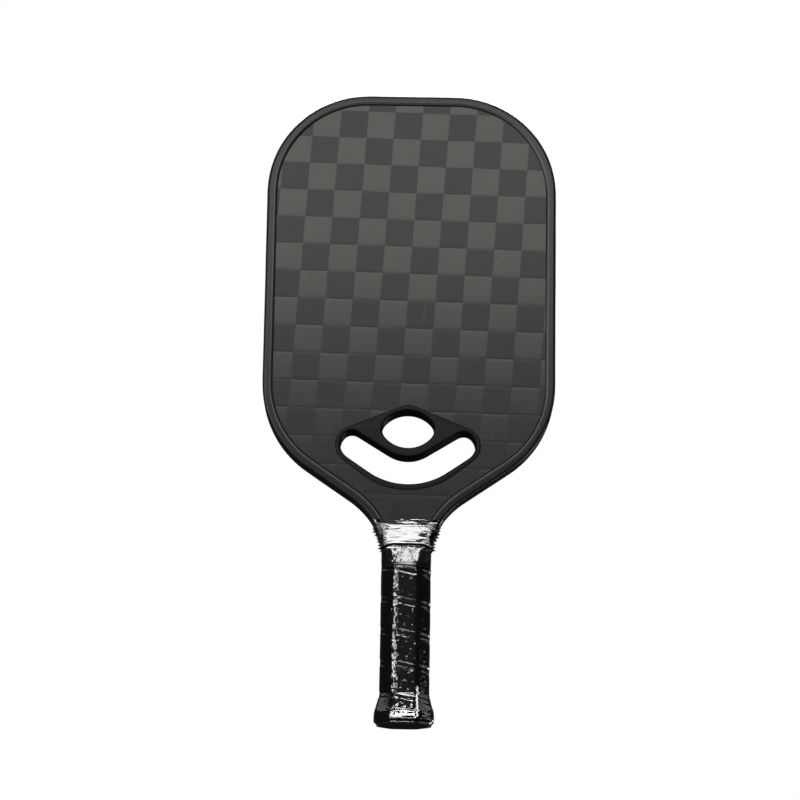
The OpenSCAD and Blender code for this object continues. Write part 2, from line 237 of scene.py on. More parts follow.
def bump(d, width):
    """1 at d = 0, falling smoothly to 0 at width."""
    return np.exp(-(d / (0.5 * width)) ** 2)


def rise(x, a, b):
    """0 below a, 1 above b, smooth in between."""
    t = np.clip((x - a) / (b - a), 0, 1)
    return t * t * (3 - 2 * t)


# ---------------------------------------------------------------- pieces

def piece(name, points, faces, node, materials, sharp):
    """A new mesh that stands for a CAD node, with edges sharper than that many degrees kept."""
    mesh = bpy.data.meshes.new(name)
    mesh.from_pydata([tuple(p) for p in points], [], [tuple(int(i) for i in f) for f in faces])
    mesh.validate()
    obj = bpy.data.objects.new(name, mesh)
    bpy.context.scene.collection.objects.link(obj)
    for m in materials:
        mesh.materials.append(m)
    face_outward(mesh)
    mesh.shade_smooth()
    mesh.set_sharp_from_angle(angle=math.radians(sharp))
    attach(obj, "root")
    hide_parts(node)
    return obj


def face_outward(mesh):
    """Turns all faces of a closed mesh outward."""
    bm = bmesh.new()
    bm.from_mesh(mesh)
    bmesh.ops.recalc_face_normals(bm, faces=bm.faces)
    bm.to_mesh(mesh)
    bm.free()


def ring_faces(rings, count, closed_rings):
    """Quads between neighbouring rings of count points each."""
    faces = []
    last = rings if closed_rings else rings - 1
    for i in range(last):
        a = i * count
        b = ((i + 1) % rings) * count
        for j in range(count):
            k = (j + 1) % count
            faces.append((a + j, a + k, b + k, b + j))
    return faces


def weave_place(x, z, flip):
    """Position counted in tows across and tows up the weave."""
    side = flip * x
    a = (side - tow_x - tow_lean * (z - tow_z)) / tow_w
    b = (z + tow_drop * side - tow_z) / tow_h
    return a, b


def weave_grid(flip):
    """Points that follow the tows, close together at the tow edges."""
    part = np.array([0, 0.25, 0.7, 1.6, 3.4, 6.2, 9.0, 11.8, 14.6, 16.4, 17.3, 17.75]) / 18.0
    reach_a = int(ply_half_w / tow_w) + 3
    a = np.concatenate([k + part for k in range(-reach_a, reach_a)])
    low_b = int((0 - tow_z) / tow_h) - 1
    high_b = int((paddle_top - tow_z) / tow_h) + 2
    b = np.concatenate([k + part for k in range(low_b, high_b)])
    a, b = np.meshgrid(a, b)
    # solve the two leaning families for x and z
    p = a.ravel() * tow_w + tow_x
    q = b.ravel() * tow_h
    dz = (q - tow_drop * p) / (1 + tow_drop * tow_lean)
    x = p + tow_lean * dz
    return np.column_stack([flip * x, dz + tow_z])


def weave_relief(x, z, flip):
    """How far the woven face lies below its crowns."""
    a, b = weave_place(x, z, flip)
    fa = a - np.floor(a)
    fb = b - np.floor(b)
    edge_a = np.minimum(fa, 1 - fa) * tow_w
    edge_b = np.minimum(fb, 1 - fb) * tow_h
    upright = (np.floor(a) + np.floor(b)) % 2 == 0
    along = np.where(upright, fb, fa)
    crown = 0.015 * MM * (1 - np.sin(math.pi * along))
    groove = 0.025 * MM * np.maximum(bump(edge_a, 0.9 * MM), bump(edge_b, 0.9 * MM))
    return crown + groove


def carbon_ply(node, side, material):
    """One woven ply: a face with relief, flat back, cut to the outline of the CAD ply."""
    back_y = side * (face_y - (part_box(node)[1].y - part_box(node)[0].y))
    loops = flat_loops(node, side * face_y)
    outer, eye = loops[0], loops[1]
    grid = weave_grid(side * -1)
    gap = 0.35 * MM
    room = inside(grid, even_offset(outer, -gap)) & ~inside(grid, even_offset(eye, gap))
    grid = grid[room & (grid[:, 1] > guard_low_z)]
    flat, tris = fill(outer, [eye], grid)
    depth = weave_relief(flat[:, 0], flat[:, 1], side * -1)
    points = np.column_stack([flat[:, 0], side * (face_y - depth), flat[:, 1]])
    bm = bmesh.new()
    verts = [bm.verts.new(p) for p in points]
    for t in tris:
        bm.faces.new([verts[i] for i in t])
    border = [e for e in bm.edges if e.is_boundary]
    made = bmesh.ops.extrude_edge_only(bm, edges=border)["geom"]
    for v in made:
        if isinstance(v, bmesh.types.BMVert):
            v.co.y = back_y
    rim = [e for e in made if isinstance(e, bmesh.types.BMEdge)]
    bmesh.ops.triangle_fill(bm, edges=rim, use_beauty=True)
    loose = [v for v in bm.verts if not v.link_faces]
    bmesh.ops.delete(bm, geom=loose, context="VERTS")
    bm.verts.index_update()
    points = [v.co[:] for v in bm.verts]
    faces = [[v.index for v in f.verts] for f in bm.faces]
    bm.free()
    return piece(node + "_woven", points, faces, node, [material], 30)


def rim_path():
    """The rim of the blade from one side of the neck round the head to the other."""
    loop = flat_loops("front_carbon_ply", -face_y)[0]
    step_z = guard_low_z - 2 * MM
    above = loop[:, 1] > step_z
    start = np.flatnonzero(above & ~np.roll(above, 1))[0]
    loop = np.roll(loop, -start, axis=0)
    path = loop[np.roll(above, -start)]
    path = eased(even_steps(path, 0.6 * MM, False), 4, False)
    return path[path[:, 1] > guard_low_z + 0.2 * MM]


def guard_section():
    """Half of the guard's section as (distance outward from the rim, depth), from the lip to the middle."""
    co = np.array([v.co for v in frame["nodes"]["edge_guard"].data.vertices])
    widest = co[np.abs(co[:, 0]) > guard_half_w - 0.01 * MM]
    flank_z = widest[:, 2].min()
    cut = co[np.abs(co[:, 2] - flank_z) < 0.01 * MM]
    lip_in = guard_half_w - np.abs(cut[:, 0]).min()
    deep = np.abs(cut[:, 1]).max()
    out = guard_half_w - ply_half_w
    nose = guard_half_w - np.abs(cut[np.abs(cut[:, 1]) > deep - 1e-6][:, 0]).max()
    land = face_y + 0.04 * MM
    lip = out - lip_in
    half = [(lip, land), (lip - 0.02 * MM, land + 0.22 * MM), (lip + 0.04 * MM, land + 0.5 * MM)]
    inner_r = 3.3 * MM
    for k in range(7):
        turn = math.radians(36 - 6 * k)
        half.append((lip + 2.1 * MM - inner_r * math.sin(turn), deep - inner_r * (1 - math.cos(turn))))
    for k in range(10):
        turn = math.radians(90 - 10 * k)
        half.append((out - nose + nose * math.cos(turn), deep - nose + nose * math.sin(turn)))
    half.append((out + 0.02 * MM, 0.45 * (deep - nose)))
    return half


def edge_guard(material, edge_material):
    """The U-shaped guard, swept along the rim of the blade, shinier on the rounding of its lips."""
    half = guard_section()
    wall_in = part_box("edge_guard_tape")[1].x - ply_half_w
    slot = [(wall_in + 0.03 * MM, -face_y - 0.04 * MM), (wall_in + 0.03 * MM, face_y + 0.04 * MM)]
    front = [(u, -d) for u, d in half]
    rear = [(u, d) for u, d in reversed(half)]
    section = np.array(front + rear + list(reversed(slot)))
    path = rim_path()
    away = outward(path, False)
    run = np.arange(len(path)) * 0.6
    wander = 0.05 * MM * noise(run / 23.0, run * 0 + 3.5, 11)
    wander = wander + 0.03 * MM * noise(run / 7.0, run * 0 + 9.5, 12)
    points = []
    for p, n, w in zip(path, away, wander):
        for u, y in section:
            shift = w if u > 0 else 0
            points.append((p[0] + (u + shift) * n[0], y, p[1] + (u + shift) * n[1]))
    count = len(section)
    faces = ring_faces(len(path), count, False)
    faces.append(range(count))
    faces.append(range((len(path) - 1) * count, len(path) * count))
    obj = piece("edge_guard_moulded", points, faces, "edge_guard", [material, edge_material], 35)
    n = len(half)
    rounding = list(range(3, 9))
    shiny = rounding + [2 * n - 2 - h for h in rounding]
    for face in obj.data.polygons[:(len(path) - 1) * count]:
        face.material_index = int(face.index % count in shiny)
    return obj


def throat_bezel(node, side, plate_material, ring_shaded_material):
    """One bezel half: chamfered flange, rounded beads round both openings and their deep walls; the beads
    and the walls inside the openings take a darker copy of the plastic as painted shade.
    """
    loops = flat_loops(node, side * bezel_front_y)
    curves = [eased(even_steps(p, 0.5 * MM, True), 2.5, True) for p in loops]
    up = bezel_front_y - face_y
    flange = [
        (0.0, 0.0),
        (-0.02 * MM, 0.22 * MM),
        (0.05 * MM, 0.33 * MM),
        (0.18 * MM, 0.42 * MM),
        (0.62 * MM, up - 0.06 * MM),
        (0.75 * MM, up),
    ]
    lip = 1.4 * MM
    bead = [(0.0, 0.03 * MM - face_y), (0.0, -0.5 * face_y)]
    for k in range(10):
        turn = math.radians(10 * k)
        bead.append((lip - lip * math.cos(turn), up - lip + lip * math.sin(turn)))
    points = []
    faces = []
    shine_and_shade = []

    # Faces marked 1 get the glossier, darker copy of the plastic: real gloss plus painted shade.
    def add_stack(curve, stack, toward, glossy_and_shaded):
        away = outward(curve, True)
        first = len(points)
        for d, h in stack:
            ring = curve + toward * d * away
            points.extend((x, side * (face_y + h), z) for x, z in ring)
        made = [tuple(first + i for i in f) for f in ring_faces(len(stack), len(curve), False)]
        faces.extend(made)
        shine_and_shade.extend([glossy_and_shaded] * len(made))
        return curve + toward * stack[-1][0] * away

    edge = add_stack(curves[0], flange, -1, 0)
    openings = [add_stack(c, bead, 1, 1) for c in curves[1:]]

    def add_flat(outer, holes, y):
        flat, tris = fill(outer, holes)
        first = len(points)
        points.extend((x, y, z) for x, z in flat)
        faces.extend(tuple(first + i for i in t) for t in tris)
        shine_and_shade.extend([0] * len(tris))

    add_flat(edge, openings, side * bezel_front_y)
    # the underside: flange seat, rim wall, back of the plate and the outer skin of the deep walls
    seat_w = 1.8 * MM
    lining = 1.1 * MM
    plate_t = 2.0 * MM
    middle = 0.03 * MM - face_y
    rim_wall = [(0.0, 0.0), (seat_w, 0.0), (seat_w, middle)]
    rim_wall += [(seat_w + lining, middle), (seat_w + lining, -plate_t)]
    deep_wall = [(0.0, middle), (lining, middle), (lining, -plate_t)]
    rim = add_stack(curves[0], rim_wall, -1, 0)
    walls = [add_stack(c, deep_wall, 1, 0) for c in curves[1:]]
    add_flat(rim, walls, side * (face_y - plate_t))
    obj = piece(node + "_moulded", points, faces, node, [plate_material, ring_shaded_material], 50)
    return close_up(obj, shine_and_shade, 50)


def close_up(obj, shine_and_shade, sharp):
    """Joins touching points and gives each face its material; on the bezel the second one is the darker copy
    painted as shade.
    """
    mesh = obj.data
    for face, index in zip(mesh.polygons, shine_and_shade):
        face.material_index = index
    bm = bmesh.new()
    bm.from_mesh(mesh)
    bmesh.ops.remove_doubles(bm, verts=bm.verts, dist=0.002 * MM)
    bmesh.ops.recalc_face_normals(bm, faces=bm.faces)
    bm.to_mesh(mesh)
    bm.free()
    mesh.shade_smooth()
    mesh.set_sharp_from_angle(angle=math.radians(sharp))
    return obj


# ---------------------------------------------------------------- wound pieces round the handle

ANGLES = 256
turn = np.arange(ANGLES) * 2 * math.pi / ANGLES
across = np.sin(turn)
forward = -np.cos(turn)
angle_deg = np.degrees((turn + math.pi) % (2 * math.pi) - math.pi)


def reach(node, heights, from_outside):
    """Distance from the handle axis to the skin of a CAD node, for each height and direction."""
    mesh = frame["nodes"][node].data
    tree = BVHTree.FromPolygons([v.co for v in mesh.vertices], [p.vertices[:] for p in mesh.polygons])
    far = 60 * MM
    out = np.zeros((len(heights), ANGLES))
    for i, z in enumerate(heights):
        for j in range(ANGLES):
            way = Vector((across[j], forward[j], 0))
            if from_outside:
                hit = tree.ray_cast(way * far + Vector((0, 0, z)), -way)[0]
            else:
                hit = tree.ray_cast(Vector((0, 0, z)), way)[0]
            out[i, j] = hit.xy.length
    return out


def soften(field, spread):
    """Rounds off the facets of a distance field over that many directions."""
    return eased(field.T, spread, True).T


def tube(name, outer, outer_z, inner, inner_z, node, materials, sharp=60):
    """A closed sleeve from an outer skin going up and an inner skin going down."""
    shells = []
    for radius, z in ((outer, outer_z), (inner[::-1], inner_z[::-1])):
        for r, h in zip(radius, z):
            height = np.broadcast_to(h, (ANGLES,))
            shells.append(np.column_stack([r * across, r * forward, height]))
    points = np.vstack(shells)
    faces = ring_faces(len(shells), ANGLES, True)
    return piece(name, points, faces, node, materials, sharp)


def spiral(z):
    """Distance above the lower edge of the turn that covers each point, and the number of that turn."""
    advance = angle_deg / 360 - 0.07 * across ** 3
    run = (z - turn_z) / turn_pitch + advance
    return (run - np.floor(run)) * turn_pitch, np.floor(run)


def grip_facets(heights):
    """The grip's facets, softened as a cushioned tape softens them."""
    return soften(reach("grip_wrap", heights, True), 5) - 0.05 * MM


def seams(above):
    """Depth of the two lines at each overlap of the spiral and of the band between them."""
    edge = np.minimum(above, turn_pitch - above)
    lines = 0.55 * MM * bump(edge, 0.9 * MM) + 0.42 * MM * bump(above - overlap_w, 1.0 * MM)
    band = rise(above, 0, 0.5 * MM) - rise(above, overlap_w, overlap_w + 0.8 * MM)
    return lines + 0.22 * MM * band


def girth_share(skin):
    """How far round each ring a point lies, from 0 in the middle of the front to 1."""
    x = skin * across
    y = skin * forward
    step = np.hypot(np.roll(x, -1, axis=1) - x, np.roll(y, -1, axis=1) - y)
    run = np.cumsum(step, axis=1) - step
    return run / step.sum(axis=1)[:, None]


def ripple(share, z, cells, height, seed):
    """Random height between -1 and 1 in that many cells round the girth, each that high."""
    return noise(share * cells, z / height + 0 * share, seed, cells)


def holes(share, above, count):
    """Mask of the punched holes: three rows in each turn, between the overlaps."""
    first = overlap_w + 1.2 * MM
    step = 5.3 * MM
    row = np.floor((above - first) / step)
    up = (above - first) - (row + 0.5) * step
    along = share * 20 + 0.5 * (row % 2) + 0.31 * count
    side = (along - np.floor(along) - 0.5) * step
    return bump(np.hypot(up, side), 1.3 * MM) * (above > first) * (row < 3)


def grip_skin(heights):
    """Outer skin of the grip: facets, spiral overlaps, punched holes and a soft grain."""
    skin = grip_facets(heights)
    z = heights[:, None]
    share = girth_share(skin)
    above, count = spiral(z)
    skin = skin - seams(above)
    skin -= 0.32 * MM * holes(share, above, count)
    skin += 0.06 * MM * ripple(share, z, 80, 1.3 * MM, 21)
    skin += 0.10 * MM * ripple(share, z, 17, 5.0 * MM, 22)
    return skin


def grip_wrap(material):
    """The wound grip tape with its rolled-in lower edge."""
    heights = np.arange(grip_low.z + 0.02 * MM, grip_high.z, 0.45 * MM)
    heights = np.append(heights, grip_high.z - 0.02 * MM)
    skin = grip_skin(heights)
    lower_lip = rise(heights, grip_low.z, grip_low.z + 1.2 * MM)[:, None]
    skin -= 0.5 * MM * (1 - lower_lip) ** 2
    inner_z = heights[::3]
    inner_z = np.append(inner_z, heights[-1])
    inner = reach("grip_wrap", inner_z, False)
    return tube("grip_wound", skin, heights, inner, inner_z, "grip_wrap", [material])


def finishing_tape(material):
    """The band of tape that holds the last turn of the grip."""
    low = finish_low_z + 0.02 * MM
    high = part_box("grip_finishing_tape")[1].z - 0.02 * MM
    heights = np.linspace(low, high, 30)
    skin = grip_facets(heights) + 0.2 * MM
    z = heights[:, None]
    skin = skin + 0.05 * MM * ripple(girth_share(skin), z, 45, 3.0 * MM, 31)
    # the free end of the tape shows as a small step at the back
    skin += 0.12 * MM * rise(angle_deg, 118, 120)[None, :] * (1 - rise(angle_deg, 168, 170))[None, :]
    inner = skin[[0, -1]] - 0.18 * MM
    return tube("finishing_tape_wound", skin, heights, inner, heights[[0, -1]],
                "grip_finishing_tape", [material])


def film_on_grip(heights):
    """The film where it clings to the grip, loose and crumpled round the butt."""
    z = heights[:, None]
    held = np.clip(heights, grip_low.z + 0.1 * MM, grip_high.z - 0.1 * MM)
    skin = grip_facets(held) + film_gap
    share = girth_share(skin)
    above, count = spiral(z)
    flank = rise(np.abs(across), 0.6, 0.95)
    front = rise(np.abs(forward), 0.75, 0.95)
    skin = skin - (0.16 + 0.55 * flank) * seams(above)
    skin -= 0.10 * MM * holes(share, above, count)
    skin += 0.035 * MM * ripple(share, z, 90, 1.1 * MM, 47)
    skin += 0.06 * MM * ripple(share, z, 24, 6.0 * MM, 48)
    corner = bump(skin * across - crumple_x, 5 * MM)
    skin += 0.15 * MM * corner * ripple(share, z, 60, 1.7 * MM, 53)
    skin += 0.05 * MM * corner * ripple(share, z, 100, 0.9 * MM, 55)
    ramp = rise(z, finish_low_z, finish_low_z + 4 * MM)
    skin += 0.09 * MM * ramp * ripple(share, z, 64, 1.8 * MM, 56)
    skin += front * 1.1 * MM * (1 - np.clip((z - 1.5 * MM) / (8 * MM), 0, 1))
    butt = 1 - rise(z, 8 * MM, 13 * MM)
    skin += butt * 0.18 * MM * np.abs(ripple(share, z, 32, 2.4 * MM, 45))
    skin += butt * 0.08 * MM * ripple(share, z, 84, 1.1 * MM, 46)
    # welded seam of the film, a ragged fin low on the front
    middle = weld_x + 1.1 * MM * noise(z / (2.6 * MM), 0 * z + 0.5, 49)
    fin = bump(skin * across - middle, 0.8 * MM) * (forward < 0)
    fin = fin * rise(z, weld_low_z - 0.5 * MM, weld_low_z + 1.5 * MM)
    fin = fin * (1 - rise(z, weld_high_z - 1 * MM, weld_high_z + 1 * MM))
    return skin + 0.75 * MM * fin * (0.6 + 0.4 * noise(z / (0.8 * MM), 0 * z + 7.5, 50))


def dent(x, z, middle_x, middle_z, wide, tall):
    """Smooth dent in the film, 1 in its middle."""
    return np.exp(-((x - middle_x) / (0.5 * wide)) ** 2 - ((z - middle_z) / (0.5 * tall)) ** 2)


def pleats(z, pitch):
    """Sharp cross folds of uneven height and size, one in every pitch on each side."""
    right = across > 0
    count = z / pitch + 0.4 * right + 0.3 * noise(0.5 + 0 * z, z / (1.7 * pitch), 54)
    number = np.floor(count)
    tooth = 1 - np.abs(2 * (count - number) - 1)
    size = 0.6 + 0.4 * noise(0.5 + 9 * right + 0 * number, number + 0.5, 57)
    return size * tooth ** 1.4


def film_on_neck(heights):
    """The film where it leans from the end of the grip to the neck, shrunk into cross wrinkles."""
    z = heights[:, None]
    skin = soften(reach("clear_film", np.clip(heights, grip_high.z + 0.5 * MM, None), True), 2)
    x = skin * across
    flat_w = neck_flat_w + neck_flare * (z - film_edge_z)
    flank = rise(np.abs(x), flat_w, flat_w + 3.0 * MM)
    lean = np.clip((film_rest_z - z) / (film_rest_z - film_edge_z), 0, 1)
    skin = skin + (1 - flank) * film_lean * lean / np.maximum(np.abs(forward), 0.25)
    loose = 1 - rise(z, film_rest_z - 7 * MM, film_rest_z + 2 * MM)
    side = rise(np.abs(across), 0.75, 0.95)
    skin = skin + side * loose * np.where(across > 0, 1.5, 0.7) * MM
    share = girth_share(skin)
    settled = rise(z, film_rest_z - 1 * MM, film_rest_z + 2 * MM)
    tilt = 1.2 * MM * ripple(share, z, 14, 9.0 * MM, 41)
    ridge = np.abs(ripple(share, z + tilt, 9, 1.3 * MM, 42))
    fine = np.abs(ripple(share, z + tilt, 14, 0.8 * MM, 43))
    skin += (0.11 * MM + 0.5 * MM * flank * (1 - settled)) * ridge
    skin += (0.03 * MM + 0.2 * MM * flank * (1 - settled)) * fine
    folds = pleats(z - fold_rise * skin * forward, 2.1 * MM)
    skin += side * (1 - settled) * (3.5 * MM * folds - 0.5 * MM)
    skin += 0.06 * MM * ripple(share, z, 24, 4.0 * MM, 44)
    height = z - film_edge_z
    skin -= 1.1 * MM * dent(x, height, 14.0 * MM, 4.0 * MM, 11 * MM, 4.5 * MM)
    skin -= 0.4 * MM * dent(x, height, 15.5 * MM, 10.0 * MM, 7 * MM, 1.6 * MM)
    skin -= 0.4 * MM * dent(x, height, -14.0 * MM, 11.0 * MM, 6 * MM, 1.6 * MM)
    skin -= 0.5 * MM * dent(x, height, -14.0 * MM, 3.0 * MM, 5 * MM, 2.2 * MM)
    return skin


def film_skin(heights):
    """Outer skin of the clear film, stepping out from the grip over its upper edge."""
    grip_part = film_on_grip(heights)
    neck_part = film_on_neck(heights)
    x = grip_part * across
    step_z = film_edge_z - 2.0 * MM * rise(np.abs(x), 9 * MM, 14 * MM)
    share = rise(heights[:, None] - step_z, -0.55 * MM, 0.45 * MM)
    return grip_part * (1 - share) + neck_part * share


def clear_film(material):
    """A thin sleeve from under the butt rim up to a ragged edge on the neck."""
    lower = np.arange(film_low.z + 0.1 * MM, grip_high.z - 1 * MM, 0.5 * MM)
    upper = np.arange(grip_high.z - 1 * MM, film_high.z - 0.05 * MM, 0.27 * MM)
    heights = np.concatenate([lower, upper])
    skin = film_skin(heights)
    z = heights[:, None]
    lift = rise(z, film_high.z - 6 * MM, film_high.z)
    wave = noise(np.radians(angle_deg)[None, :] * 2.4 + 0 * z, 0 * z + 2.5, 51)
    fray = noise(np.radians(angle_deg)[None, :] * 9 + 0 * z, 0 * z + 5.5, 52)
    ragged = z + lift * (0.55 * MM * wave + 0.25 * MM * fray)
    turned_in = [0.6, 1.8, 3.0]
    low = skin[0]
    hem = [low - d * MM for d in reversed(turned_in)]
    hem_z = [np.full(ANGLES, film_low.z - 0.05 * MM + 0.02 * d * MM) for d in turned_in]
    outer = np.vstack([hem, skin])
    outer_z = np.vstack([hem_z, ragged])
    sheet = 0.08 * MM
    inner = outer - sheet
    inner_z = outer_z.copy()
    inner_z[:4] += sheet
    return tube("film_shrunk", outer, outer_z, inner, inner_z, "clear_film", [material], 80)


# ---------------------------------------------------------------- materials

def add(tree, kind, inputs=None, **settings):
    """One shader node with its settings, and values or links for its inputs."""
    n = tree.nodes.new(kind)
    for key, value in settings.items():
        setattr(n, key, value)
    for key, value in (inputs or {}).items():
        if isinstance(value, bpy.types.NodeSocket):
            tree.links.new(value, n.inputs[key])
        else:
            n.inputs[key].default_value = value
    return n


def maths(tree, operation, a, b=0.0, c=0.0):
    """One sum with values or links."""
    n = add(tree, "ShaderNodeMath", {0: a, 1: b, 2: c}, operation=operation)
    return n.outputs[0]


def blend_colour(tree, share, a, b):
    """Colour a where share is 0 and colour b where it is 1."""
    n = add(tree, "ShaderNodeMix", {"Factor": share}, data_type="RGBA")
    for socket, value in ((n.inputs[6], a), (n.inputs[7], b)):
        if isinstance(value, bpy.types.NodeSocket):
            tree.links.new(value, socket)
        else:
            socket.default_value = (*value, 1)
    return n.outputs[2]


def place(tree):
    """Object coordinates in metres."""
    return add(tree, "ShaderNodeTexCoord").outputs["Object"]


def grain(tree, x, y, z, detail=3.0):
    """Random grey between 0 and 1 with that many cells per metre along each axis."""
    at = add(tree, "ShaderNodeMapping", {"Vector": place(tree), "Scale": (x, y, z)}).outputs[0]
    n = add(tree, "ShaderNodeTexNoise", {"Vector": at, "Scale": 1.0, "Detail": detail})
    return n.outputs[0]


def raised(tree, height, distance, strength=1.0):
    """Normals of a relief that rises by distance from height 0 to 1."""
    n = add(tree, "ShaderNodeBump", {"Height": height, "Distance": distance, "Strength": strength})
    return n.outputs[0]


def between(tree, value, low, high):
    """value from 0 to 1 spread to low to high."""
    n = add(tree, "ShaderNodeMapRange", {"Value": value, "To Min": low, "To Max": high})
    return n.outputs[0]


def fade(tree, value, start, end):
    """0 at start, 1 at end and beyond."""
    n = add(tree, "ShaderNodeMapRange", {"Value": value, "From Min": start, "From Max": end})
    return n.outputs[0]


def blend_value(tree, share, a, b):
    """Value a where share is 0 and value b where it is 1."""
    n = add(tree, "ShaderNodeMix", {"Factor": share, 2: a, 3: b})
    return n.outputs[0]


def fresh(name):
    """A new material and its empty node tree."""
    material = bpy.data.materials.new(name)
    material.use_nodes = True
    material.node_tree.nodes.clear()
    return material, material.node_tree


def surface(name, colour, roughness, normal=None, **more):
    """A solid material; colour, roughness and normal are functions that add their nodes to its tree."""
    material, tree = fresh(name)
    shader = tree.nodes.new("ShaderNodeBsdfPrincipled")
    for key, make in (("Base Color", colour), ("Roughness", roughness), ("Normal", normal)):
        if make is not None:
            tree.links.new(make(tree), shader.inputs[key])
    for key, value in more.items():
        shader.inputs[key.replace("_", " ")].default_value = value
    out = tree.nodes.new("ShaderNodeOutputMaterial")
    tree.links.new(shader.outputs[0], out.inputs[0])
    return material


def mottled(low, high, cells):
    """Colour that wanders between two shades."""
    def make(tree):
        return blend_colour(tree, grain(tree, cells, cells, cells), low, high)
    return make


def level(low, high, cells):
    """Roughness that wanders between two values."""
    def make(tree):
        return between(tree, grain(tree, cells, cells, cells), low, high)
    return make


def pebbled(cells, distance, strength=1.0):
    """Bumps that many cells per metre."""
    def make(tree):
        return raised(tree, grain(tree, cells, cells, cells, 2.0), distance, strength)
    return make


def weave_nodes(tree, flip):
    """Tow counts across and up the weave with slightly uneven tow edges."""
    parts = add(tree, "ShaderNodeSeparateXYZ", {"Vector": place(tree)})
    sway = maths(tree, "MULTIPLY_ADD", grain(tree, 55, 55, 55, 2.0), 0.9 * MM, -0.45 * MM)
    sway_z = maths(tree, "MULTIPLY_ADD", grain(tree, 70, 70, 45, 2.0), 0.9 * MM, -0.45 * MM)
    x = maths(tree, "MULTIPLY", maths(tree, "ADD", parts.outputs[0], sway), flip)
    z = maths(tree, "ADD", parts.outputs[2], sway_z)
    lean = maths(tree, "MULTIPLY", maths(tree, "SUBTRACT", z, tow_z), tow_lean)
    a = maths(tree, "SUBTRACT", maths(tree, "SUBTRACT", x, tow_x), lean)
    a = maths(tree, "DIVIDE", a, tow_w)
    b = maths(tree, "SUBTRACT", maths(tree, "MULTIPLY_ADD", x, tow_drop, z), tow_z)
    b = maths(tree, "DIVIDE", b, tow_h)
    return a, b


def tow_edge(tree, count, pitch):
    """Distance in metres to the nearest tow edge."""
    part = maths(tree, "FRACT", count)
    near = maths(tree, "MINIMUM", part, maths(tree, "SUBTRACT", 1.0, part))
    return maths(tree, "MULTIPLY", near, pitch)


def by_direction(tree, upright, cells, long_cells):
    """Streaks that run up in the upright tows and across in the level ones."""
    up = grain(tree, cells, cells, long_cells)
    level_streaks = grain(tree, long_cells, long_cells, cells)
    return blend_value(tree, upright, level_streaks, up)


def tow_shade(tree, a, b, upright, fibres, bundles):
    """Base colour of the tows: fine fibres, bundles, a little luck per square and dark tow edges."""
    corner = add(tree, "ShaderNodeCombineXYZ", {0: maths(tree, "FLOOR", a), 1: maths(tree, "FLOOR", b)})
    luck = add(tree, "ShaderNodeTexWhiteNoise", {"Vector": corner.outputs[0]}).outputs[0]
    shade = blend_colour(tree, upright, (0.0136, 0.0136, 0.0136), (0.0116, 0.0115, 0.0111))
    streak = between(tree, fibres, 0.72, 1.28)
    streak = maths(tree, "MULTIPLY", streak, between(tree, bundles, 0.88, 1.12))
    streak = maths(tree, "MULTIPLY", streak, between(tree, luck, 0.95, 1.05))
    edge = maths(tree, "MINIMUM", tow_edge(tree, a, tow_w), tow_edge(tree, b, tow_h))
    line = between(tree, fade(tree, edge, 0.05 * MM, 0.38 * MM), 0.75, 1.0)
    streak = maths(tree, "MULTIPLY", streak, line)
    return add(tree, "ShaderNodeVectorMath", {0: shade, "Scale": streak}, operation="SCALE").outputs[0]


def carbon(name, flip, marks):
    """Big flat tows: squares with upright fibres mirror more light than squares with level fibres."""
    material, tree = fresh(name)
    a, b = weave_nodes(tree, flip)
    cell = maths(tree, "ADD", maths(tree, "FLOOR", a), maths(tree, "FLOOR", b))
    odd = maths(tree, "FRACT", maths(tree, "MULTIPLY", cell, 0.5))
    upright = maths(tree, "LESS_THAN", odd, 0.25)
    fibres = by_direction(tree, upright, 2600, 45)
    bundles = by_direction(tree, upright, 520, 12)
    tone = tow_shade(tree, a, b, upright, fibres, bundles)
    for mark in marks:
        tone = blend_colour(tree, scuff(tree, *mark), tone, (0.085, 0.083, 0.078))
    gloss = maths(tree, "MULTIPLY", between(tree, upright, 0.108, 0.180), between(tree, fibres, 0.9, 1.1))
    tint = blend_colour(tree, upright, (1.0, 1.0, 1.0), (1.0, 0.97, 0.91))
    rough = maths(tree, "ADD", between(tree, bundles, 0.20, 0.24), between(tree, upright, 0.055, 0.0))
    shader = add(tree, "ShaderNodeBsdfPrincipled",
                 {"Base Color": tone, "Roughness": rough, "Normal": raised(tree, fibres, 0.004 * MM, 0.35),
                  "Specular IOR Level": gloss, "Specular Tint": tint})
    add(tree, "ShaderNodeOutputMaterial", {0: shader.outputs[0]})
    return material


def scuff(tree, x, z, length, width, lean):
    """Mask of one short pale scratch, leaning up from level by that many degrees."""
    local = add(tree, "ShaderNodeMapping",
                {"Vector": place(tree), "Location": (x, 0, z), "Rotation": (0, -math.radians(lean), 0),
                 "Scale": (length / 2, 1, width / 2)}, vector_type="TEXTURE")
    parts = add(tree, "ShaderNodeSeparateXYZ", {"Vector": local.outputs[0]})
    far = maths(tree, "ADD", maths(tree, "POWER", maths(tree, "ABSOLUTE", parts.outputs[0]), 2.0),
                maths(tree, "POWER", maths(tree, "ABSOLUTE", parts.outputs[2]), 2.0))
    return add(tree, "ShaderNodeMapRange",
               {"Value": far, "From Min": 0.3, "From Max": 1.0, "To Min": 0.6, "To Max": 0.0}).outputs[0]


def film_zones(tree, x, z):
    """Masks of the film's crumpled corner, the loose ramp under the neck, the butt and the neck."""
    off_corner = maths(tree, "ABSOLUTE", maths(tree, "SUBTRACT", x, crumple_x))
    corner = fade(tree, off_corner, 5 * MM, 2 * MM)
    ramp = fade(tree, z, finish_low_z + 2 * MM, finish_low_z + 4 * MM)
    butt = fade(tree, z, 12 * MM, 9 * MM)
    neck = fade(tree, z, film_edge_z - 1 * MM, film_edge_z)
    return corner, ramp, butt, neck


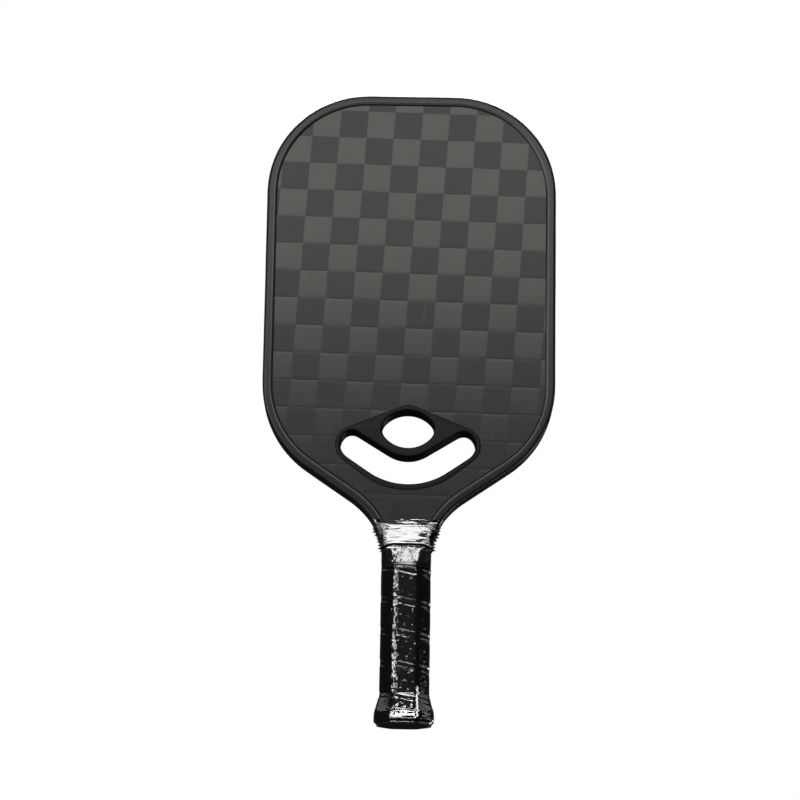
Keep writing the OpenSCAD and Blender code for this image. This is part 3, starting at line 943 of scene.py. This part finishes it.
def film_lip(tree, wide, z):
    """Mask of the thick lip where the film leaves the grip, lower towards both sides; the film is painted
    dark there as a line of shade.
    """
    drop = maths(tree, "MULTIPLY", fade(tree, wide, 9 * MM, 14 * MM), 2 * MM)
    off_lip = maths(tree, "ABSOLUTE", maths(tree, "SUBTRACT", maths(tree, "ADD", z, drop), film_edge_z))
    return fade(tree, off_lip, 0.75 * MM, 0.45 * MM)


def film_creases(tree, corner, ramp, butt, neck):
    """Normals of the creases, strong where the film is crumpled and faint where it is stretched."""
    wild = maths(tree, "MAXIMUM", maths(tree, "MULTIPLY", corner, 0.8), maths(tree, "MULTIPLY", ramp, 0.35))
    wild = maths(tree, "MAXIMUM", wild, maths(tree, "MULTIPLY", butt, 0.4))
    wild = maths(tree, "MULTIPLY", wild, maths(tree, "SUBTRACT", 1.0, neck))
    crinkle = maths(tree, "SUBTRACT", grain(tree, 430, 430, 380, 1.5), 0.5)
    height = maths(tree, "MULTIPLY", crinkle, between(tree, wild, 0.06, 1.0))
    return raised(tree, height, 0.6 * MM, 1.0)


def film_mirror(tree, corner, ramp, butt, neck, lip, normal):
    """Share of the light that the film mirrors: little head on, nearly all of it at a grazing angle."""
    facing = add(tree, "ShaderNodeLayerWeight", {"Blend": 0.25, "Normal": normal}).outputs["Facing"]
    least = between(tree, maths(tree, "MAXIMUM", ramp, maths(tree, "MULTIPLY", butt, 0.55)), 0.05, 0.112)
    least = blend_value(tree, neck, least, 0.063)
    steep = maths(tree, "POWER", fade(tree, facing, 0.1, 0.65), 2.0)
    share = blend_value(tree, steep, least, 0.97)
    share = maths(tree, "MULTIPLY", share, between(tree, lip, 1.0, 0.1))
    # patches of the crumpled corner are pressed against the grip and stay dark
    held = maths(tree, "SUBTRACT", 1.0, maths(tree, "MAXIMUM", maths(tree, "MAXIMUM", ramp, butt), neck))
    pressed = fade(tree, grain(tree, 520, 520, 420, 2.0), 0.56, 0.46)
    pressed = maths(tree, "MULTIPLY", pressed, maths(tree, "MULTIPLY", corner, held))
    return maths(tree, "MULTIPLY", share, between(tree, pressed, 1.0, 0.12))


def film(name):
    """Clear film with sharp, broken highlights; painted shade darkens it where it is bunched up beside the
    neck and along its lip, and a painted highlight draws a white line on its welded seam.
    """
    material, tree = fresh(name)
    parts = add(tree, "ShaderNodeSeparateXYZ", {"Vector": place(tree)}).outputs
    wide = maths(tree, "ABSOLUTE", parts[0])
    corner, ramp, butt, neck = film_zones(tree, parts[0], parts[2])
    lip = film_lip(tree, wide, parts[2])
    normal = film_creases(tree, corner, ramp, butt, neck)
    share = film_mirror(tree, corner, ramp, butt, neck, lip, normal)
    spread = maths(tree, "MULTIPLY_ADD", maths(tree, "SUBTRACT", parts[2], film_edge_z), -neck_flare, wide)
    # Painted shade: the film is tinted near black where it is bunched up beside the neck and along its lip.
    bunched_painted_shade = maths(tree, "MULTIPLY", fade(tree, spread, neck_flat_w + 0.5 * MM, neck_flat_w + 3 * MM), neck)
    bunched_painted_shade = maths(tree, "MAXIMUM", bunched_painted_shade, lip)
    seen_through_painted_shade = blend_colour(tree, bunched_painted_shade, (0.97, 0.97, 0.98), (0.16, 0.16, 0.17))
    clear = add(tree, "ShaderNodeBsdfTransparent", {"Color": seen_through_painted_shade})
    gloss = add(tree, "ShaderNodeBsdfAnisotropic",
                {"Color": (1, 1, 1, 1), "Roughness": 0.09, "Normal": normal})
    sheet = add(tree, "ShaderNodeMixShader", {0: share, 1: clear.outputs[0], 2: gloss.outputs[0]})
    # Painted highlight: a matte white stripe stands in for the glint on the film's welded seam.
    painted_seam_white = add(tree, "ShaderNodeBsdfDiffuse", {"Color": (0.8, 0.8, 0.8, 1)})
    whole = add(tree, "ShaderNodeMixShader",
                {0: painted_seam_highlight(tree, parts), 1: sheet.outputs[0], 2: painted_seam_white.outputs[0]})
    add(tree, "ShaderNodeOutputMaterial", {0: whole.outputs[0]})
    return material


def painted_seam_highlight(tree, parts):
    """Mask of a painted highlight along the film's welded seam, a jagged white line low on the front."""
    wander = maths(tree, "SUBTRACT", grain(tree, 0, 0, 430, 2.0), 0.5)
    middle = maths(tree, "MULTIPLY_ADD", wander, 7 * MM, weld_x)
    far = maths(tree, "ABSOLUTE", maths(tree, "SUBTRACT", parts[0], middle))
    line = fade(tree, far, 0.65 * MM, 0.35 * MM)
    line = maths(tree, "MULTIPLY", line, fade(tree, parts[2], weld_low_z, weld_low_z + 1 * MM))
    line = maths(tree, "MULTIPLY", line, fade(tree, parts[2], weld_high_z, weld_high_z - 1 * MM))
    return maths(tree, "MULTIPLY", line, maths(tree, "LESS_THAN", parts[1], 0.0))


def fine_lines(cells, distance):
    """Straight brushed lines along Z."""
    def make(tree):
        return raised(tree, grain(tree, cells, cells, cells / 60), distance)
    return make


# pale marks on the front face: x, z, length, width and lean in degrees
front_scuffs = [
    (-69.6 * MM, 292.8 * MM, 8.7 * MM, 0.5 * MM, -48),
    (9.5 * MM, 270.0 * MM, 20.0 * MM, 0.4 * MM, 81),
    (61.2 * MM, 309.5 * MM, 3.8 * MM, 0.8 * MM, 50),
    (54.5 * MM, 187.0 * MM, 1.4 * MM, 1.0 * MM, 0),
    (13.0 * MM, 386.0 * MM, 1.4 * MM, 1.0 * MM, 0),
]
carbon_front = carbon("carbon_front", 1, front_scuffs)
carbon_rear = carbon("carbon_rear", -1, [])
guard_plastic = surface("guard_plastic", mottled((0.0085, 0.0085, 0.0095), (0.011, 0.011, 0.012), 900),
                        level(0.21, 0.26, 400), pebbled(2600, 0.004 * MM, 0.6), Specular_IOR_Level=0.12)
guard_edge = surface("guard_edge", mottled((0.0085, 0.0085, 0.0095), (0.011, 0.011, 0.012), 900),
                     level(0.21, 0.26, 400), pebbled(2600, 0.001 * MM, 0.6), Specular_IOR_Level=0.2)
bezel_plastic = surface("bezel_plastic", mottled((0.006, 0.006, 0.0065), (0.009, 0.009, 0.0095), 1200),
                        level(0.35, 0.45, 500), pebbled(3000, 0.02 * MM, 0.4), Specular_IOR_Level=0.05)
# The bead is the bezel plastic painted darker: painted shade on the rounded beads and the walls inside the
# openings.
bezel_bead_painted_shade = surface("bezel_bead_painted_shade", mottled((0.002, 0.002, 0.002), (0.004, 0.004, 0.004), 800),
                     level(0.3, 0.4, 500), pebbled(1500, 0.01 * MM, 0.3), Specular_IOR_Level=0.06)
grip_rubber = surface("grip_rubber", mottled((0.0015, 0.0015, 0.0015), (0.004, 0.004, 0.004), 1500),
                      level(0.38, 0.5, 900), pebbled(2200, 0.06 * MM, 0.6), Specular_IOR_Level=0.03)
tape_black = surface("tape_black", mottled((0.003, 0.003, 0.003), (0.005, 0.005, 0.005), 500),
                     level(0.25, 0.4, 300), pebbled(1800, 0.02 * MM, 0.5), Specular_IOR_Level=0.12)
cap_plastic = surface("cap_plastic", mottled((0.012, 0.012, 0.013), (0.02, 0.02, 0.021), 700),
                      level(0.4, 0.55, 500), pebbled(2400, 0.03 * MM, 0.5))
honeycomb_polymer = surface("honeycomb_polymer", mottled((0.62, 0.63, 0.60), (0.75, 0.76, 0.72), 300),
                            level(0.35, 0.5, 300), pebbled(1200, 0.03 * MM, 0.4))
backing_glass = surface("backing_glass", mottled((0.50, 0.53, 0.42), (0.62, 0.65, 0.52), 900),
                        level(0.3, 0.45, 400), pebbled(1600, 0.03 * MM, 0.5))
foam_tape = surface("foam_tape", mottled((0.72, 0.72, 0.68), (0.82, 0.82, 0.78), 1200),
                    level(0.75, 0.9, 600), pebbled(3000, 0.05 * MM, 0.7))
shell_foam = surface("shell_foam", mottled((0.40, 0.36, 0.28), (0.50, 0.45, 0.36), 700),
                     level(0.7, 0.85, 500), pebbled(1500, 0.08 * MM, 0.7))
staple_steel = surface("staple_steel", mottled((0.55, 0.55, 0.56), (0.68, 0.68, 0.69), 2000),
                       level(0.22, 0.36, 1500), fine_lines(6000, 0.01 * MM), Metallic=1.0)
clear_wrap = film("clear_wrap")


def dress(node, material):
    """A CAD node that stays in view keeps its mesh and gets its finish."""
    obj = frame["nodes"][node]
    obj.data.materials.clear()
    obj.data.materials.append(material)
    return obj


def soft_edges(obj, width):
    """Rounds the sharp edges of a CAD node without touching its mesh."""
    bevel = obj.modifiers.new("soft_edges", "BEVEL")
    bevel.width = width
    bevel.segments = 3
    bevel.limit_method = "ANGLE"
    bevel.angle_limit = math.radians(35)


# ---------------------------------------------------------------- the paddle

carbon_ply("front_carbon_ply", -1, carbon_front)
carbon_ply("rear_carbon_ply", 1, carbon_rear)
edge_guard(guard_plastic, guard_edge)
throat_bezel("front_throat_bezel", -1, bezel_plastic, bezel_bead_painted_shade)
throat_bezel("rear_throat_bezel", 1, bezel_plastic, bezel_bead_painted_shade)
grip_wrap(grip_rubber)
finishing_tape(tape_black)
clear_film(clear_wrap)
dress("honeycomb_core", honeycomb_polymer)
dress("front_backing_ply", backing_glass)
dress("rear_backing_ply", backing_glass)
dress("edge_guard_tape", foam_tape)
dress("front_handle_shell", shell_foam)
dress("rear_handle_shell", shell_foam)
soft_edges(dress("butt_cap", cap_plastic), 0.35 * MM)
dress("butt_cap_staples", staple_steel)
dress("grip_staple", staple_steel)


# ---------------------------------------------------------------- studio

def floor():
    """A plain pale floor well below the hanging paddle."""
    size = 8.0
    mesh = bpy.data.meshes.new("floor")
    half = size / 2
    corners = [(-half, -half, 0), (half, -half, 0), (half, half, 0), (-half, half, 0)]
    mesh.from_pydata(corners, [], [(0, 1, 2, 3)])
    obj = bpy.data.objects.new("floor", mesh)
    bpy.context.scene.collection.objects.link(obj)
    obj.location.z = -0.62
    mesh.materials.append(surface("floor_paint", mottled((0.80, 0.80, 0.80), (0.83, 0.83, 0.83), 3),
                                  level(0.75, 0.85, 3), Emission_Strength=0.5))
    obj.visible_glossy = False
    obj.visible_diffuse = False


def softbox(name, azimuths, elevations, radiance):
    """An area light that fills these angles in degrees as seen from the neck of the paddle.
    Azimuth 0 is in front and counts to the right."""
    distance = 2.2
    azimuth = math.radians(sum(azimuths) / 2)
    elevation = math.radians(sum(elevations) / 2)
    half_turn = math.radians((azimuths[1] - azimuths[0]) / 2)
    half_rise = math.radians((elevations[1] - elevations[0]) / 2)
    light = bpy.data.lights.new(name, "AREA")
    light.shape = "RECTANGLE"
    light.size = 2 * distance * math.cos(elevation) * math.tan(half_turn)
    light.size_y = 2 * distance * math.tan(half_rise)
    light.energy = radiance * light.size * light.size_y * math.pi
    obj = bpy.data.objects.new(name, light)
    bpy.context.scene.collection.objects.link(obj)
    level_reach = math.cos(elevation)
    away = Vector((math.sin(azimuth) * level_reach, -math.cos(azimuth) * level_reach, math.sin(elevation)))
    neck = Vector((0, 0, 0.5 * (grip_high.z + film_high.z)))
    obj.location = neck + distance * away
    obj.rotation_euler = away.to_track_quat("Z", "Y").to_euler()


def world():
    """White behind the paddle, and only a little light from everywhere else."""
    scene_world = bpy.data.worlds.new("studio")
    bpy.context.scene.world = scene_world
    scene_world.use_nodes = True
    tree = scene_world.node_tree
    tree.nodes.clear()
    seen = add(tree, "ShaderNodeLightPath").outputs["Is Camera Ray"]
    white = add(tree, "ShaderNodeBackground", {"Color": (1, 1, 1, 1), "Strength": 1.0})
    dim = add(tree, "ShaderNodeBackground", {"Color": (1, 1, 1, 1), "Strength": 0.015})
    both = add(tree, "ShaderNodeMixShader", {0: seen, 1: dim.outputs[0], 2: white.outputs[0]})
    add(tree, "ShaderNodeOutputWorld", {0: both.outputs[0]})


def camera():
    """A long lens below the paddle, looking up at its face."""
    elevation = math.radians(-13.5)
    roll = 0.0158
    distance = 2.0
    aim = Vector((-5.6 * MM, 0, 0.5 * paddle_top + 3.86 * MM))
    away = Vector((0, -math.cos(elevation), math.sin(elevation)))
    level_x = Vector((1, 0, 0))
    level_y = away.cross(level_x)
    x = math.cos(roll) * level_x + math.sin(roll) * level_y
    y = away.cross(x)
    data = bpy.data.cameras.new("camera")
    data.sensor_width = 36
    data.lens = 138.04
    obj = bpy.data.objects.new("camera", data)
    bpy.context.scene.collection.objects.link(obj)
    obj.matrix_world = Matrix.Translation(aim + distance * away) @ Matrix((x, y, away)).transposed().to_4x4()
    bpy.context.scene.camera = obj


floor()
softbox("key", (-22, 22), (17, 33), 8.0)
softbox("overhead", (-24, 18), (48, 66), 4.0)
softbox("left", (-50, -18), (-5, 19), 8.0)
softbox("front_low", (-22, 22), (-25, 1), 2.5)
softbox("left_low", (-62, -30), (-38, -12), 2.0)
softbox("side_left", (-125, -75), (22, 48), 0.4)
softbox("side_right", (75, 125), (22, 48), 0.4)
softbox("side_low", (80, 100), (-14, 4), 0.7)
softbox("rear_high", (155, 205), (35, 62), 14.0)
softbox("rear_low", (118, 152), (-28, -2), 2.5)
world()
camera()
bpy.context.scene.view_settings.view_transform = "Standard"
